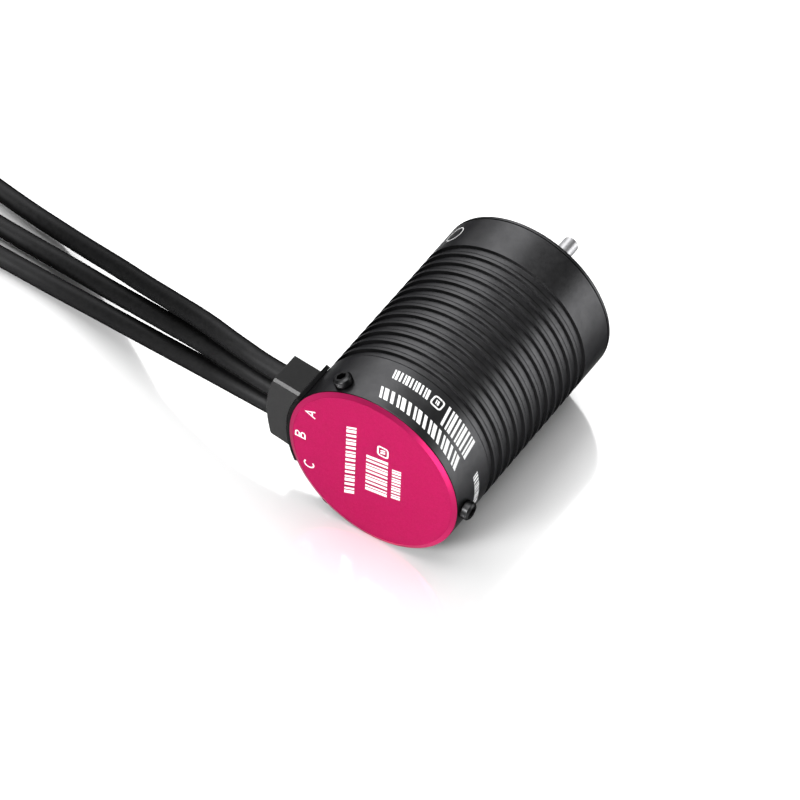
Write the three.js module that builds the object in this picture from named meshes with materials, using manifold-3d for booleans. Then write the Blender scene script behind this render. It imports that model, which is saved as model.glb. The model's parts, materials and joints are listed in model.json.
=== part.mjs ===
// A 36 mm brushless inrunner motor for model cars, lying on its finned can.
// The shaft runs along Y with its output end at +Y. X is across, Z is up, and all sizes are in millimetres.
// The motor is built about its own axis, then lifted so that the can rests on z = 0.
import * as THREE from "three";
import { mergeVertices } from "three/addons/utils/BufferGeometryUtils.js";
import Module from "manifold-3d";

const wasm = await Module();
wasm.setup();

const DEGREE = Math.PI / 180;

// ---- driving dimensions: can and ends, along the shaft from the seam between cover and can ----
const CAN_RADIUS = 18;
const CAN_BORE = 16.2;
const CAN_FACETS = 30;
const FLAT_SPREAD = 1 / Math.cos(Math.PI / CAN_FACETS); // puts the facets' flats on a radius
const CAN_REAR = 0.1;
const CAN_FRONT = 51.1;
const GROOVE_COUNT = 13;
const GROOVE_START = 10.65;
const GROOVE_PITCH = 2.563;
const GROOVE_WIDTH = 1.82;
const GROOVE_DEPTH = 0.5;
const GROOVE_SLOPE = 0.25;
const SLIP_RADIUS = 15.9; // end bell, front plate spigot and stator stack, all inside the can's bore
const COVER_RADIUS = 18;
const COVER_REAR = -0.5;
const COVER_FRONT = 0;
const COVER_BEVEL_WIDTH = 1;
const COVER_BEVEL_DEPTH = 0.45;
const BELL_REAR = 0.15;
const BELL_FRONT = 8;
const BELL_FLOOR = 4.4;
const BELL_RING_BORE = 12.6;
const BEARING_BOSS_RADIUS = 6.4;
const SHAFT_CLEARANCE_RADIUS = 2.1;
const PLATE_REAR = 46.6;
const PLATE_RELIEF = 48.6;
const PLATE_RIM = 51.2;
const PLATE_FRONT = 52;
const PLATE_CHAMFER = 0.1;
const SPIGOT_BORE = 14;
const PLATE_SHAFT_HOLE = 3.6;
const FACE_HOLE_CIRCLE = 12.5; // M3 mounting holes on a 25 mm circle
const FACE_HOLE_RADIUS = 1.25;
const FACE_HOLE_ANGLES = [45, 135, 225, 315];

// ---- shaft and bearings: 3.175 x 9.525 x 3.967 ball races ----
const SHAFT_RADIUS = 1.5875;
const SHAFT_REAR = 1.5;
const SHAFT_TIP = 67.6;
const SHAFT_CHAMFER = 0.35;
const BEARING_RADIUS = 4.7625;
const BEARING_HALF_WIDTH = 1.98;
const BEARING_SEAT = 4.9;
const BEARING_PLAY = 0.1;
const WASHER_SPACE = 0.9;
const BALL_RADIUS = 0.75;
const BALL_PITCH_RADIUS = 3.175;
const BALL_COUNT = 7;
const FRONT_BEARING_Y = 48.75;
const REAR_BEARING_Y = 5;

// ---- stator and rotor ----
const STACK_REAR = 14;
const STACK_FRONT = 42;
const TOOTH_COUNT = 6;
const TOOTH_HALF_WIDTH = 2.1;
const STATOR_BORE = 7.4;
const YOKE_BORE = 13.3;
const INSULATOR_THICKNESS = 0.8;
const COIL_HALF_WIDTH = 4.35;
const COIL_INNER = 9.2;
const COIL_OUTER = 12.3;
const COIL_END = 2.3;
const ROTOR_REAR = 14.2;
const ROTOR_FRONT = 41.8;
const ROTOR_CORE_RADIUS = 4.3;
const MAGNET_RADIUS = 6.35;
const MAGNET_COUNT = 4;
const SLEEVE_RADIUS = 6.75;

// ---- radial screws, wire block and leads ----
const SCREW_ANGLES = [117, 237, 357];
const SCREW_Y = 2.45;
const SCREW_HEAD_RADIUS = 1.8;
const SCREW_HEAD_BASE = 18.12;
const SCREW_HEAD_TOP = 19.7;
const SCREW_SHANK_RADIUS = 1.15;
const SCREW_SHANK_END = 13;
const SCREW_HOLE_RADIUS = 1.3;
const HEX_SOCKET_RADIUS = 0.87;
const HEX_SOCKET_DEPTH = 0.9;
const BLOCK_RADIUS = 24.3;
const BLOCK_HALF_HEIGHT = 8;
const BLOCK_REAR = 2.1;
const BLOCK_FRONT = 9.1;
const BLOCK_BEVEL = 0.5;
const SADDLE_INNER = 18.15;
const SADDLE_OUTER = 19;
const SADDLE_HALF_ANGLE = 28;
const SADDLE_REAR = 0.15;
const SADDLE_FRONT = 10.2;
const NECK_INNER = 16.4;
const NECK_REAR = 1;
const NECK_FRONT = 9.5;
const NECK_HALF_ANGLE = 25.3;
const SLOT_FRONT = 9.8;
const SLOT_HALF_ANGLE = 26;
const NOTCH_HALF_HEIGHT = 7.2;
const LEAD_RADIUS = 1.9;
const LEAD_Y = 6.5;
const LEAD_SPACING = 4.8;
const LEAD_HOLE_RADIUS = 2.08;
const LEAD_STEPS = 24;
const PLUG_CUP_RADIUS = 2.5;
const PLUG_CUP_DEPTH = 6;
const PLUG_PIN_RADIUS = 2.05;
const PLUG_LENGTH = 18.6;
const SHRINK_RADIUS = 3;

// The motor axis in the part's frame: the box of the motor and its wire block is centred on X and Y.
const SCREW_TILT = (360 - SCREW_ANGLES[2]) * DEGREE;
const SCREW_REACH = SCREW_HEAD_TOP * Math.cos(SCREW_TILT) + SCREW_HEAD_RADIUS * Math.sin(SCREW_TILT);
const AXIS_X = (BLOCK_RADIUS - SCREW_REACH) / 2;
const AXIS_Y = -(SHAFT_TIP + COVER_REAR) / 2;
const AXIS_Z = CAN_RADIUS;

// Each lead in the part's frame: out of the block along -X, down to the surface and along it to its plug.
const LEAD_ROUTES = {
  a: [
    [-6.7, -27.1, 22.8], [-15.7, -27.1, 22.8], [-23.7, -27.0, 22.8], [-31.7, -25.8, 22.6],
    [-40.7, -23.3, 21.2], [-49.7, -20.2, 18.1], [-58.7, -16.7, 14.3], [-67.7, -12.9, 10.3],
    [-76.7, -9.4, 6.5], [-85.7, -6.4, 3.6], [-94.7, -4.3, 2.2], [-103.7, -2.7, 2.0],
    [-112.7, -1.2, 2.0], [-121.7, 0.2, 2.1], [-130.7, 1.3, 2.6], [-138.7, 1.7, 3.1],
    [-145.7, 1.7, 3.1], [-153.2, 1.7, 3.1],
  ],
  b: [
    [-6.7, -27.1, 18.0], [-15.7, -27.1, 18.0], [-23.7, -27.0, 18.0], [-31.7, -26.1, 17.8],
    [-40.7, -24.1, 16.3], [-49.7, -21.7, 13.7], [-58.7, -18.9, 10.5], [-67.7, -16.1, 7.2],
    [-76.7, -13.5, 4.4], [-85.7, -11.7, 2.6], [-94.7, -10.7, 2.0], [-103.7, -10.0, 2.0],
    [-112.7, -9.4, 2.0], [-121.7, -8.7, 2.1], [-130.7, -8.3, 2.6], [-138.7, -8.1, 3.1],
    [-145.7, -8.1, 3.1], [-153.2, -8.1, 3.1],
  ],
  c: [
    [-6.7, -27.1, 13.2], [-15.7, -27.1, 13.2], [-23.7, -27.1, 13.2], [-31.7, -26.7, 13.0],
    [-40.7, -25.4, 11.6], [-49.7, -23.7, 9.6], [-58.7, -21.7, 7.2], [-67.7, -19.7, 4.8],
    [-76.7, -18.1, 2.9], [-85.7, -17.2, 2.1], [-94.7, -16.8, 2.0], [-103.7, -16.6, 2.0],
    [-112.7, -16.5, 2.0], [-121.7, -16.4, 2.1], [-130.7, -16.3, 2.6], [-138.7, -16.3, 3.1],
    [-145.7, -16.3, 3.1], [-153.2, -16.3, 3.1],
  ],
};

// ---- materials ----
const finish = (color, roughness, metalness) => ({ color, roughness, metalness });
const BLACK_ANODISED = finish(0x1b1b1c, 0.45, 0.6);
const PINK_ANODISED = finish(0xcc2e66, 0.35, 0.7);
const DARK_PLASTIC = finish(0x424242, 0.55, 0);
const BRIGHT_ALUMINIUM = finish(0xb4b6ba, 0.35, 0.9);
const POLISHED_STEEL = finish(0xc8c9cc, 0.2, 1);
const BLACK_STEEL = finish(0x151516, 0.35, 0.8);
const LAMINATION = finish(0x5c5f66, 0.5, 0.8);
const COPPER = finish(0xb8642c, 0.3, 0.9);
const GREEN_PLASTIC = finish(0x2c5a44, 0.6, 0);
const MAGNET = finish(0x8f9296, 0.3, 0.9);
const SLEEVE = finish(0x2a2a2c, 0.5, 0.1);
const BRASS = finish(0xb59a4a, 0.35, 0.9);
const SILICONE = finish(0x161616, 0.5, 0);
const GOLD = finish(0xd4a93c, 0.22, 1);

// ---- geometry helpers ----

// A three.js geometry as a manifold solid.
function toSolid(geometry) {
  const bare = geometry.clone();
  bare.deleteAttribute("normal");
  bare.deleteAttribute("uv");
  const merged = mergeVertices(bare, 1e-4);
  return new wasm.Manifold(
    new wasm.Mesh({
      numProp: 3,
      vertProperties: merged.attributes.position.array,
      triVerts: new Uint32Array(merged.index.array),
    }),
  );
}

// A manifold solid as a three.js geometry.
function toGeometry(solid) {
  const mesh = solid.getMesh();
  const geometry = new THREE.BufferGeometry();
  geometry.setAttribute("position", new THREE.BufferAttribute(mesh.vertProperties, 3));
  geometry.setIndex(new THREE.BufferAttribute(mesh.triVerts, 1));
  geometry.computeVertexNormals();
  return geometry;
}

// Base geometry, with others joined to it and then others cut away.
function carve(base, { join = [], cut = [] }) {
  let solid = toSolid(base);
  for (const extra of join) solid = solid.add(toSolid(extra));
  for (const tool of cut) solid = solid.subtract(toSolid(tool));
  return toGeometry(solid);
}

// A solid of revolution about Y from [radius, y] points that run anticlockwise. A profile that starts on the
// axis ends there too, and any other closes on itself.
function turned(profile, segments = 24) {
  const outline = profile.map(([radius, y]) => new THREE.Vector2(radius, y));
  if (profile[0][0] > 0) outline.push(outline[0].clone());
  return new THREE.LatheGeometry(outline, segments);
}

// A plain ring about Y.
function ring(inner, outer, low, high, segments = 24) {
  return turned([[inner, low], [outer, low], [outer, high], [inner, high]], segments);
}

// A flat shape drawn in X and Z, made solid along Y from low to high.
function slab(shape, low, high, options = {}) {
  const geometry = new THREE.ExtrudeGeometry(shape, {
    depth: high - low,
    bevelEnabled: false,
    curveSegments: 5,
    ...options,
  });
  return geometry.rotateX(Math.PI / 2).translate(0, high, 0);
}

// Part of a ring about Y: middle and half are angles in degrees, from +X towards +Z.
function wedge(inner, outer, low, high, middle, half) {
  const from = (middle - half) * DEGREE;
  const to = (middle + half) * DEGREE;
  const shape = new THREE.Shape();
  shape.absarc(0, 0, outer, from, to, false);
  shape.absarc(0, 0, inner, to, from, true);
  return slab(shape, low, high);
}

// A geometry made along Y, turned to point out from the axis at an angle in degrees.
function pointOut(geometry, angle) {
  return geometry.rotateZ(-Math.PI / 2).rotateY(-angle * DEGREE);
}

// A cylinder along Y from low to high.
function cylinder(radius, low, high, segments = 16) {
  return new THREE.CylinderGeometry(radius, radius, high - low, segments)
    .translate(0, (low + high) / 2, 0);
}

// ---- scene graph ----
const part = new THREE.Group();
const motor = new THREE.Group();
motor.position.set(AXIS_X, AXIS_Y, AXIS_Z);
part.add(motor);

function place(group, name, geometry, look) {
  const mesh = new THREE.Mesh(geometry, new THREE.MeshStandardMaterial(look));
  mesh.name = name;
  group.add(mesh);
}

// A radial tool for a screw hole, at the screws' distance from the seam.
function screwHole(angle, from, to) {
  return pointOut(cylinder(SCREW_HOLE_RADIUS, from, to, 12), angle).translate(0, SCREW_Y, 0);
}

// ---- can: finned tube with a slot for the wire block and three screw holes ----
function makeCan() {
  const outside = CAN_RADIUS * FLAT_SPREAD;
  const bottom = (CAN_RADIUS - GROOVE_DEPTH) * FLAT_SPREAD;
  const profile = [[CAN_BORE, CAN_REAR], [outside, CAN_REAR]];
  for (let i = 0; i < GROOVE_COUNT; i += 1) {
    const start = GROOVE_START + i * GROOVE_PITCH;
    const end = start + GROOVE_WIDTH;
    profile.push([outside, start], [bottom, start + GROOVE_SLOPE]);
    profile.push([bottom, end - GROOVE_SLOPE], [outside, end]);
  }
  profile.push([outside, CAN_FRONT], [CAN_BORE, CAN_FRONT]);
  const tube = turned(profile, CAN_FACETS).rotateY(Math.PI / CAN_FACETS);
  const slot = wedge(15, 20, CAN_REAR - 1, SLOT_FRONT, 180, SLOT_HALF_ANGLE);
  const holes = SCREW_ANGLES.map((angle) => screwHole(angle, 15, 20));
  return carve(tube, { cut: [slot, ...holes] });
}
place(motor, "can", makeCan(), BLACK_ANODISED);

// ---- front end plate: rim, spigot, bearing seat and four tapped holes ----
function makeFrontPlate() {
  const seatFloor = FRONT_BEARING_Y + BEARING_HALF_WIDTH + BEARING_PLAY;
  const rim = CAN_RADIUS * FLAT_SPREAD;
  const body = turned([
    [PLATE_SHAFT_HOLE, PLATE_FRONT], [PLATE_SHAFT_HOLE, seatFloor],
    [BEARING_SEAT, seatFloor], [BEARING_SEAT, PLATE_REAR],
    [BEARING_BOSS_RADIUS, PLATE_REAR], [BEARING_BOSS_RADIUS, PLATE_RELIEF],
    [SPIGOT_BORE, PLATE_RELIEF], [SPIGOT_BORE, PLATE_REAR],
    [SLIP_RADIUS, PLATE_REAR], [SLIP_RADIUS, PLATE_RIM],
    [rim, PLATE_RIM], [rim, PLATE_FRONT - PLATE_CHAMFER], [rim - PLATE_CHAMFER, PLATE_FRONT],
  ], CAN_FACETS).rotateY(Math.PI / CAN_FACETS);
  const holes = FACE_HOLE_ANGLES.map((angle) =>
    cylinder(FACE_HOLE_RADIUS, PLATE_REAR, PLATE_FRONT + 1, 12).translate(
      FACE_HOLE_CIRCLE * Math.cos(angle * DEGREE), 0, FACE_HOLE_CIRCLE * Math.sin(angle * DEGREE),
    ),
  );
  return carve(body, { cut: holes });
}
place(motor, "front_end_plate", makeFrontPlate(), BLACK_ANODISED);

// ---- rear end bell: bearing seat, screw ring and a notch where the leads come in ----
function makeRearBell() {
  const bossTop = REAR_BEARING_Y + BEARING_HALF_WIDTH + BEARING_PLAY;
  const seatFloor = REAR_BEARING_Y - BEARING_HALF_WIDTH - WASHER_SPACE;
  const body = turned([
    [SHAFT_CLEARANCE_RADIUS, BELL_REAR], [SLIP_RADIUS, BELL_REAR], [SLIP_RADIUS, BELL_FRONT],
    [BELL_RING_BORE, BELL_FRONT], [BELL_RING_BORE, BELL_FLOOR],
    [BEARING_BOSS_RADIUS, BELL_FLOOR], [BEARING_BOSS_RADIUS, bossTop],
    [BEARING_SEAT, bossTop], [BEARING_SEAT, seatFloor], [SHAFT_CLEARANCE_RADIUS, seatFloor],
  ], CAN_FACETS);
  const notch = new THREE.BoxGeometry(8, 2 * BELL_FRONT, 2 * NOTCH_HALF_HEIGHT)
    .translate(-BELL_RING_BORE - 1, BELL_FLOOR + BELL_FRONT, 0);
  const holes = SCREW_ANGLES.map((angle) => screwHole(angle, SCREW_SHANK_END - 0.3, 17));
  return carve(body, { cut: [notch, ...holes] });
}
place(motor, "rear_end_bell", makeRearBell(), BRIGHT_ALUMINIUM);

// ---- rear cover: thin bevelled disc over the can's end ----
const rearCover = turned([
  [0, COVER_REAR], [COVER_RADIUS - COVER_BEVEL_WIDTH, COVER_REAR],
  [COVER_RADIUS, COVER_REAR + COVER_BEVEL_DEPTH], [COVER_RADIUS, COVER_FRONT], [0, COVER_FRONT],
], 48);
place(motor, "rear_cover", rearCover, PINK_ANODISED);

// ---- stator: laminated stack, an insulator at each end, and a coil on each tooth ----

// The stack's outline in X and Z: a yoke with teeth pointing in, each ending in a wider pole shoe.
function laminationShape({ outer, yoke, tooth, bore, shoe, shoeHalfAngle }) {
  const pitch = (2 * Math.PI) / TOOTH_COUNT;
  const shape = new THREE.Shape();
  for (let i = 0; i < TOOTH_COUNT; i += 1) {
    shape.absarc(0, 0, outer, i * pitch, (i + 1) * pitch, false);
  }
  const air = new THREE.Path();
  const toothAtYoke = Math.asin(tooth / yoke);
  const toothAtShoe = Math.asin(tooth / (shoe + 0.7));
  const at = (radius, angle) => [radius * Math.cos(angle), radius * Math.sin(angle)];
  for (let i = 0; i < TOOTH_COUNT; i += 1) {
    const middle = i * pitch;
    const half = shoeHalfAngle * DEGREE;
    const from = at(bore, middle - half);
    if (i === 0) air.moveTo(...from);
    else air.lineTo(...from);
    air.absarc(0, 0, bore, middle - half, middle + half, false);
    air.lineTo(...at(shoe, middle + half));
    air.lineTo(...at(shoe + 0.7, middle + toothAtShoe));
    air.lineTo(...at(yoke, middle + toothAtYoke));
    air.absarc(0, 0, yoke, middle + toothAtYoke, middle + pitch - toothAtYoke, false);
    air.lineTo(...at(shoe + 0.7, middle + pitch - toothAtShoe));
    air.lineTo(...at(shoe, middle + pitch - half));
  }
  air.closePath();
  shape.holes.push(air);
  return shape;
}

const coreShape = laminationShape({
  outer: SLIP_RADIUS, yoke: YOKE_BORE, tooth: TOOTH_HALF_WIDTH,
  bore: STATOR_BORE, shoe: STATOR_BORE + 0.7, shoeHalfAngle: 25,
});
const insulatorShape = laminationShape({
  outer: SLIP_RADIUS - 0.8, yoke: YOKE_BORE - 0.1, tooth: TOOTH_HALF_WIDTH + 0.15,
  bore: STATOR_BORE + 0.3, shoe: STATOR_BORE + 1, shoeHalfAngle: 23,
});
const LAYER_GAP = 0.1;
const COARSE = { curveSegments: 2 };
const frontLayer = STACK_FRONT + LAYER_GAP;
const rearLayer = STACK_REAR - LAYER_GAP - INSULATOR_THICKNESS;
place(motor, "stator_core", slab(coreShape, STACK_REAR, STACK_FRONT, COARSE), LAMINATION);
place(
  motor,
  "insulator_front",
  slab(insulatorShape, frontLayer, frontLayer + INSULATOR_THICKNESS, COARSE),
  GREEN_PLASTIC,
);
place(
  motor,
  "insulator_rear",
  slab(insulatorShape, rearLayer, rearLayer + INSULATOR_THICKNESS, COARSE),
  GREEN_PLASTIC,
);

// A rectangle with round corners, centred on the origin.
function roundedRectangle(halfWidth, halfHeight, radius, path = new THREE.Shape()) {
  path.moveTo(halfWidth, -halfHeight + radius);
  path.absarc(halfWidth - radius, halfHeight - radius, radius, 0, Math.PI / 2, false);
  path.absarc(-halfWidth + radius, halfHeight - radius, radius, Math.PI / 2, Math.PI, false);
  path.absarc(-halfWidth + radius, -halfHeight + radius, radius, Math.PI, 1.5 * Math.PI, false);
  path.absarc(halfWidth - radius, -halfHeight + radius, radius, 1.5 * Math.PI, 2 * Math.PI, false);
  return path;
}

// A coil round one tooth: a flat ring of wire, wound along the motor's radius.
function makeCoil(angle) {
  const clear = 0.35;
  const holeHalfHeight = (STACK_FRONT - STACK_REAR) / 2 + INSULATOR_THICKNESS + LAYER_GAP + clear;
  const shape = roundedRectangle(COIL_HALF_WIDTH, holeHalfHeight + COIL_END, 2.2);
  shape.holes.push(
    roundedRectangle(TOOTH_HALF_WIDTH + clear, holeHalfHeight, 0.4, new THREE.Path()),
  );
  const depth = COIL_OUTER - COIL_INNER;
  return new THREE.ExtrudeGeometry(shape, { depth, bevelEnabled: false, curveSegments: 2 })
    .translate(0, (STACK_FRONT + STACK_REAR) / 2, COIL_INNER)
    .rotateY((90 - angle) * DEGREE);
}
for (let i = 0; i < TOOTH_COUNT; i += 1) {
  place(motor, `coil_${i + 1}`, makeCoil((i * 360) / TOOTH_COUNT), COPPER);
}

// ---- rotor: shaft, core, four magnets, sleeve, balance rings and spacers ----
const shaft = turned([
  [0, SHAFT_REAR], [SHAFT_RADIUS - SHAFT_CHAMFER, SHAFT_REAR], [SHAFT_RADIUS, SHAFT_REAR + SHAFT_CHAMFER],
  [SHAFT_RADIUS, SHAFT_TIP - SHAFT_CHAMFER], [SHAFT_RADIUS - SHAFT_CHAMFER, SHAFT_TIP], [0, SHAFT_TIP],
], 20);
place(motor, "shaft", shaft, POLISHED_STEEL);

const FIT_BORE = SHAFT_RADIUS + 0.12;
const rotorCore = ring(FIT_BORE, ROTOR_CORE_RADIUS, ROTOR_REAR + 0.1, ROTOR_FRONT - 0.1);
place(motor, "rotor_core", rotorCore, LAMINATION);
for (let i = 0; i < MAGNET_COUNT; i += 1) {
  const magnet = wedge(ROTOR_CORE_RADIUS + 0.1, MAGNET_RADIUS, ROTOR_REAR, ROTOR_FRONT, 45 + i * 90, 42);
  place(motor, `magnet_${i + 1}`, magnet, MAGNET);
}
place(motor, "magnet_sleeve", ring(MAGNET_RADIUS + 0.15, SLEEVE_RADIUS, ROTOR_REAR, ROTOR_FRONT), SLEEVE);
const rearRing = ring(FIT_BORE, MAGNET_RADIUS, ROTOR_REAR - 1.9, ROTOR_REAR - 0.2);
const frontRing = ring(FIT_BORE, MAGNET_RADIUS, ROTOR_FRONT + 0.2, ROTOR_FRONT + 1.9);
place(motor, "balance_ring_rear", rearRing, BRASS);
place(motor, "balance_ring_front", frontRing, BRASS);

const SPACER_RADIUS = 2.6;
const rearBearingFront = REAR_BEARING_Y + BEARING_HALF_WIDTH;
const frontBearingRear = FRONT_BEARING_Y - BEARING_HALF_WIDTH;
place(
  motor,
  "rear_spacer",
  ring(FIT_BORE, SPACER_RADIUS, rearBearingFront + 0.1, ROTOR_REAR - 2, 16),
  POLISHED_STEEL,
);
place(
  motor,
  "front_spacer",
  ring(FIT_BORE, SPACER_RADIUS, ROTOR_FRONT + 2, frontBearingRear - 0.1, 16),
  POLISHED_STEEL,
);

// ---- ball bearings: two grooved rings, a pocketed cage, seven balls and an outside shield ----
const BALL_GROOVE = 0.25;
const GROOVE_SHOULDER = 0.65;
const CAGE_HALF_WIDTH = 1.15;
const SHIELD_STEP = 1.45;
const SHIELD_INNER = 1.5;
const SHIELD_OUTER = 1.7;

function outerRingProfile(width) {
  const half = [
    [BEARING_RADIUS, width], [4.2, width], [4.2, SHIELD_STEP], [3.75, SHIELD_STEP],
    [3.75, GROOVE_SHOULDER], [4.02, BALL_GROOVE],
  ];
  const mirrored = half.map(([radius, y]) => [radius, -y]).reverse();
  return [...half, ...mirrored];
}

function innerRingProfile(width) {
  const half = [[2.33, BALL_GROOVE], [2.62, GROOVE_SHOULDER], [2.62, width], [FIT_BORE, width]];
  const mirrored = half.map(([radius, y]) => [radius, -y]).reverse();
  return [...half, ...mirrored];
}

function makeCage() {
  const pockets = [];
  for (let i = 0; i < BALL_COUNT; i += 1) {
    pockets.push(pointOut(cylinder(BALL_RADIUS + 0.11, 2, 5, 8), (i * 360) / BALL_COUNT));
  }
  return carve(ring(2.95, 3.42, -CAGE_HALF_WIDTH, CAGE_HALF_WIDTH, 21), { cut: pockets });
}

function placeBearing(prefix, y, shieldSide) {
  const bearing = new THREE.Group();
  bearing.position.set(0, y, 0);
  motor.add(bearing);
  place(bearing, `${prefix}_outer_ring`, turned(outerRingProfile(BEARING_HALF_WIDTH), 20), POLISHED_STEEL);
  place(bearing, `${prefix}_inner_ring`, turned(innerRingProfile(BEARING_HALF_WIDTH), 20), POLISHED_STEEL);
  place(bearing, `${prefix}_cage`, makeCage(), BRASS);
  for (let i = 0; i < BALL_COUNT; i += 1) {
    const angle = (i * 2 * Math.PI) / BALL_COUNT;
    const ball = new THREE.IcosahedronGeometry(BALL_RADIUS, 1).translate(
      BALL_PITCH_RADIUS * Math.cos(angle), 0, BALL_PITCH_RADIUS * Math.sin(angle),
    );
    place(bearing, `${prefix}_ball_${i + 1}`, ball, POLISHED_STEEL);
  }
  const [low, high] = shieldSide > 0 ? [SHIELD_INNER, SHIELD_OUTER] : [-SHIELD_OUTER, -SHIELD_INNER];
  place(bearing, `${prefix}_shield`, ring(2.75, 4.1, low, high), POLISHED_STEEL);
}
placeBearing("rear_bearing", REAR_BEARING_Y, -1);
placeBearing("front_bearing", FRONT_BEARING_Y, 1);

// ---- wave washer that preloads the rear bearing ----
function makeWaveWasher() {
  const washer = ring(2.9, 4.6, -0.1, 0.1, 24);
  const position = washer.attributes.position;
  for (let i = 0; i < position.count; i += 1) {
    const angle = Math.atan2(position.getZ(i), position.getX(i));
    position.setY(i, position.getY(i) + 0.25 * Math.cos(3 * angle));
  }
  return washer.translate(0, REAR_BEARING_Y - BEARING_HALF_WIDTH - WASHER_SPACE / 2, 0);
}
place(motor, "wave_washer", makeWaveWasher(), POLISHED_STEEL);

// ---- radial screws that hold the rear end bell in the can ----
function makeScrew(angle) {
  const body = turned([
    [0, SCREW_SHANK_END], [SCREW_SHANK_RADIUS, SCREW_SHANK_END], [SCREW_SHANK_RADIUS, SCREW_HEAD_BASE],
    [SCREW_HEAD_RADIUS, SCREW_HEAD_BASE], [SCREW_HEAD_RADIUS, SCREW_HEAD_TOP - 0.4],
    [SCREW_HEAD_RADIUS - 0.4, SCREW_HEAD_TOP], [0, SCREW_HEAD_TOP],
  ], 16);
  const socket = cylinder(HEX_SOCKET_RADIUS, SCREW_HEAD_TOP - HEX_SOCKET_DEPTH, SCREW_HEAD_TOP + 1, 6);
  return pointOut(carve(body, { cut: [socket] }), angle).translate(0, SCREW_Y, 0);
}
SCREW_ANGLES.forEach((angle, i) => place(motor, `radial_screw_${i + 1}`, makeScrew(angle), BLACK_STEEL));

// ---- wire block: saddle on the can, flat-sided block with an arc-shaped end, and neck through the slot ----
function makeWireBlock() {
  const inner = SADDLE_OUTER - 0.3;
  const outer = BLOCK_RADIUS - BLOCK_BEVEL;
  const height = BLOCK_HALF_HEIGHT - BLOCK_BEVEL;
  const outerCorner = Math.asin(height / outer);
  const innerCorner = Math.asin(height / inner);
  const shape = new THREE.Shape();
  shape.absarc(0, 0, outer, Math.PI - outerCorner, Math.PI + outerCorner, false);
  shape.absarc(0, 0, inner, Math.PI + innerCorner, Math.PI - innerCorner, true);
  const block = slab(shape, BLOCK_REAR + BLOCK_BEVEL, BLOCK_FRONT - BLOCK_BEVEL, {
    bevelEnabled: true,
    bevelThickness: BLOCK_BEVEL,
    bevelSize: BLOCK_BEVEL,
    bevelSegments: 1,
  });
  const saddle = wedge(SADDLE_INNER, SADDLE_OUTER, SADDLE_REAR, SADDLE_FRONT, 180, SADDLE_HALF_ANGLE);
  const neck = wedge(NECK_INNER, SADDLE_INNER + 0.3, NECK_REAR, NECK_FRONT, 180, NECK_HALF_ANGLE);
  const holes = [-LEAD_SPACING, 0, LEAD_SPACING].map((z) =>
    pointOut(cylinder(LEAD_HOLE_RADIUS, 14, 26, 12), 180).translate(0, LEAD_Y, z),
  );
  return carve(saddle, { join: [block, neck], cut: holes });
}
place(motor, "wire_block", makeWireBlock(), DARK_PLASTIC);

// ---- phase leads, each ending in a bullet plug under heat-shrink sleeving ----
function makeLead(route) {
  const path = new THREE.CatmullRomCurve3(route.map((point) => new THREE.Vector3(...point)));
  const section = new THREE.Shape();
  for (let i = 0; i < 8; i += 1) {
    const angle = (i * Math.PI) / 4;
    const corner = [LEAD_RADIUS * Math.cos(angle), LEAD_RADIUS * Math.sin(angle)];
    if (i === 0) section.moveTo(...corner);
    else section.lineTo(...corner);
  }
  return new THREE.ExtrudeGeometry(section, { steps: LEAD_STEPS, extrudePath: path });
}

// The plug's axis points away from the lead, and its length is counted from the mouth of the solder cup.
function makePlug() {
  const neck = 7.6;
  return pointOut(turned([
    [0, PLUG_CUP_DEPTH], [PLUG_CUP_RADIUS - 0.4, PLUG_CUP_DEPTH], [PLUG_CUP_RADIUS - 0.4, 0],
    [PLUG_CUP_RADIUS, 0], [PLUG_CUP_RADIUS, neck - 0.5], [1.6, neck], [1.6, neck + 0.7],
    [PLUG_PIN_RADIUS - 0.2, neck + 1], [PLUG_PIN_RADIUS, neck + 5.5], [PLUG_PIN_RADIUS - 0.25, neck + 9.8],
    [1.2, PLUG_LENGTH], [0, PLUG_LENGTH],
  ], 14), 180);
}

function makeHeatShrink() {
  const onLead = LEAD_RADIUS + 0.13;
  const onCup = PLUG_CUP_RADIUS + 0.12;
  return pointOut(turned([
    [onLead, -6], [onLead + 0.4, -6], [onLead + 0.4, -1.6], [SHRINK_RADIUS, -0.2],
    [SHRINK_RADIUS, 6.9], [onCup, 6.9], [onCup, -0.15], [onLead, -0.9],
  ], 14), 180);
}

for (const [phase, route] of Object.entries(LEAD_ROUTES)) {
  const [endX, endY, endZ] = route.at(-1);
  const plugAt = new THREE.Group();
  plugAt.position.set(endX + PLUG_CUP_DEPTH - 0.5, endY, endZ);
  part.add(plugAt);
  place(part, `phase_lead_${phase}`, makeLead(route), SILICONE);
  place(plugAt, `heat_shrink_${phase}`, makeHeatShrink(), SILICONE);
  place(plugAt, `bullet_plug_${phase}`, makePlug(), GOLD);
}

export default part;
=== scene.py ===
"""A small finned brushless motor with a pink rear cover and three phase leads, on a pale studio floor."""

import json
import math

import bmesh
import bpy
from mathutils import Matrix, Vector


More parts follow.
